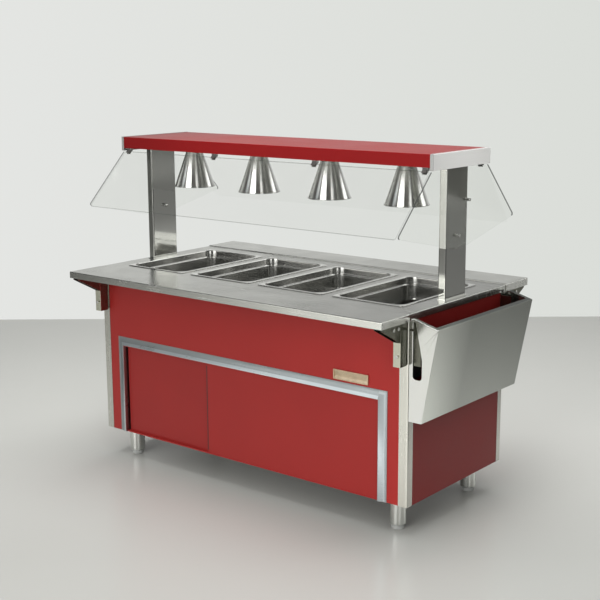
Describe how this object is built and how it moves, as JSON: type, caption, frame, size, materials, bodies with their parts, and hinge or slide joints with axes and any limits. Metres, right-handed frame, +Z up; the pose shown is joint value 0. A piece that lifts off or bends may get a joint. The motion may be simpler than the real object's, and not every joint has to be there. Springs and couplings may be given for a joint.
{
  "type": "steam table unit",
  "caption": "Heated serving counter with lift-out food pans in hot wells, a red cabinet with sliding doors, side work shelves, an end bin and a glass guard under a lamp canopy.",
  "frame": {"origin": "on the floor under the middle of the overall length and depth", "axes": "+X along the counter towards the end bin, -Y towards the sliding doors, +Z up"},
  "size_m": [1.737, 1.04, 1.41],
  "materials": {
    "stainless": "brushed",
    "frame_steel": "mill",
    "red_enamel": "satin enamel",
    "foot_grey": "satin",
    "bright_steel": "polished",
    "element_sheath": "heat-tinted",
    "copper_pipe": "copper",
    "valve_brass": "satin",
    "handle_red": "dipped vinyl",
    "housing_black": "matte",
    "switch_black": "gloss",
    "amber_lens": "clear amber",
    "cord_rubber": "matte",
    "spun_aluminium": "polished spun",
    "porcelain": "glazed",
    "bulb_glass": "frosted",
    "clear_glass": "clear",
    "pan_steel": "bright annealed",
    "knob_black": "moulded",
    "plate_metal": "satin"
  },
  "bodies": {
    "cabinet": {"body_frame": "frame_steel", "corner_posts": "stainless", "front_panel": "red_enamel", "rear_panel": "red_enamel", "end_panel_left": "red_enamel", "end_panel_right": "red_enamel", "bottom_shelf": "stainless", "legs": "stainless", "door_surround": "stainless", "door_tracks": "red_enamel", "counter_top": "stainless", "front_shelf": "stainless", "rear_shelf": "stainless", "front_shelf_brackets": "stainless", "rear_shelf_brackets": "stainless", "shelf_bolts": "bright_steel", "well_liners": "stainless", "heating_elements": "element_sheath", "drain_manifold": "copper_pipe", "drain_valve": "valve_brass", "control_panel": "stainless", "control_units": "housing_black", "indicator_lamps": "amber_lens", "power_cord": "cord_rubber", "upright_left": "stainless", "upright_right": "stainless", "canopy_shell": "red_enamel", "canopy_end_left": "stainless", "canopy_end_right": "stainless", "canopy_soffit": "stainless", "lamp_shades": "spun_aluminium", "lamp_sockets": "porcelain", "heat_bulbs": "bulb_glass", "glass_end_left": "clear_glass", "glass_end_right": "clear_glass", "glass_hinge_brackets": "stainless", "glass_standoffs": "bright_steel", "bin_brackets": "stainless", "nameplate": "plate_metal"},
    "sliding_door_left": {"door_left": "red_enamel"},
    "sliding_door_right": {"door_right": "red_enamel"},
    "pan_1": {"food_pan_1": "pan_steel"},
    "knob_1": {"control_knob_1": "knob_black"},
    "pan_2": {"food_pan_2": "pan_steel"},
    "knob_2": {"control_knob_2": "knob_black"},
    "pan_3": {"food_pan_3": "pan_steel"},
    "knob_3": {"control_knob_3": "knob_black"},
    "pan_4": {"food_pan_4": "pan_steel"},
    "knob_4": {"control_knob_4": "knob_black"},
    "front_guard": {"glass_front": "clear_glass", "glass_clamps_front": "bright_steel"},
    "rear_guard": {"glass_rear": "clear_glass", "glass_clamps_rear": "bright_steel"},
    "bin": {"end_bin": "stainless"},
    "rocker": {"power_switch": "switch_black"},
    "drain_lever": {"drain_valve_handle": "handle_red"},
    "foot_fl": {"foot_front_left": "foot_grey"},
    "foot_fr": {"foot_front_right": "foot_grey"},
    "foot_rl": {"foot_rear_left": "foot_grey"},
    "foot_rr": {"foot_rear_right": "foot_grey"}
  },
  "joints": [
    {"name": "door_left_slide", "type": "slide", "parent": "cabinet", "child": "sliding_door_left", "axis": [1, 0, 0], "range_m": [-0.005, 0.83]},
    {"name": "door_right_slide", "type": "slide", "parent": "cabinet", "child": "sliding_door_right", "axis": [1, 0, 0], "range_m": [-0.484, 0.003]},
    {"name": "pan_1_lift", "type": "slide", "parent": "cabinet", "child": "pan_1", "axis": [0, 0, 1], "range_m": [0, 0.12]},
    {"name": "pan_2_lift", "type": "slide", "parent": "cabinet", "child": "pan_2", "axis": [0, 0, 1], "range_m": [0, 0.12]},
    {"name": "pan_3_lift", "type": "slide", "parent": "cabinet", "child": "pan_3", "axis": [0, 0, 1], "range_m": [0, 0.12]},
    {"name": "pan_4_lift", "type": "slide", "parent": "cabinet", "child": "pan_4", "axis": [0, 0, 1], "range_m": [0, 0.12]},
    {"name": "bin_pull", "type": "slide", "parent": "cabinet", "child": "bin", "axis": [1, 0, 0], "range_m": [0, 0.15]},
    {"name": "front_guard_swing", "type": "hinge", "parent": "cabinet", "child": "front_guard", "pos_m": [-0.0585, -0.188, 1.353], "axis": [-1, 0, 0], "range_deg": [0, 45]},
    {"name": "rear_guard_swing", "type": "hinge", "parent": "cabinet", "child": "rear_guard", "pos_m": [-0.0585, 0.188, 1.353], "axis": [1, 0, 0], "range_deg": [0, 45]},
    {"name": "knob_1_turn", "type": "hinge", "parent": "cabinet", "child": "knob_1", "pos_m": [-0.2685, 0.35, 0.735], "axis": [0, 1, 0], "range_deg": [0, 270]},
    {"name": "knob_2_turn", "type": "hinge", "parent": "cabinet", "child": "knob_2", "pos_m": [-0.1485, 0.35, 0.735], "axis": [0, 1, 0], "range_deg": [0, 270]},
    {"name": "knob_3_turn", "type": "hinge", "parent": "cabinet", "child": "knob_3", "pos_m": [0.0315, 0.35, 0.735], "axis": [0, 1, 0], "range_deg": [0, 270]},
    {"name": "knob_4_turn", "type": "hinge", "parent": "cabinet", "child": "knob_4", "pos_m": [0.1515, 0.35, 0.735], "axis": [0, 1, 0], "range_deg": [0, 270]},
    {"name": "rocker_tilt", "type": "hinge", "parent": "cabinet", "child": "rocker", "pos_m": [-0.0585, 0.3376, 0.735], "axis": [1, 0, 0], "range_deg": [-20, 0]},
    {"name": "drain_lever_turn", "type": "hinge", "parent": "cabinet", "child": "drain_lever", "pos_m": [0.5815, 0.2, 0.398], "axis": [0, -1, 0], "range_deg": [0, 90]},
    {"name": "foot_fl_turn", "type": "hinge", "parent": "cabinet", "child": "foot_fl", "pos_m": [-0.7665, -0.254, 0.02], "axis": [0, 0, 1], "continuous": true},
    {"name": "foot_fr_turn", "type": "hinge", "parent": "cabinet", "child": "foot_fr", "pos_m": [0.6495, -0.254, 0.02], "axis": [0, 0, 1], "continuous": true},
    {"name": "foot_rl_turn", "type": "hinge", "parent": "cabinet", "child": "foot_rl", "pos_m": [-0.7665, 0.254, 0.02], "axis": [0, 0, 1], "continuous": true},
    {"name": "foot_rr_turn", "type": "hinge", "parent": "cabinet", "child": "foot_rr", "pos_m": [0.6495, 0.254, 0.02], "axis": [0, 0, 1], "continuous": true}
  ]
}
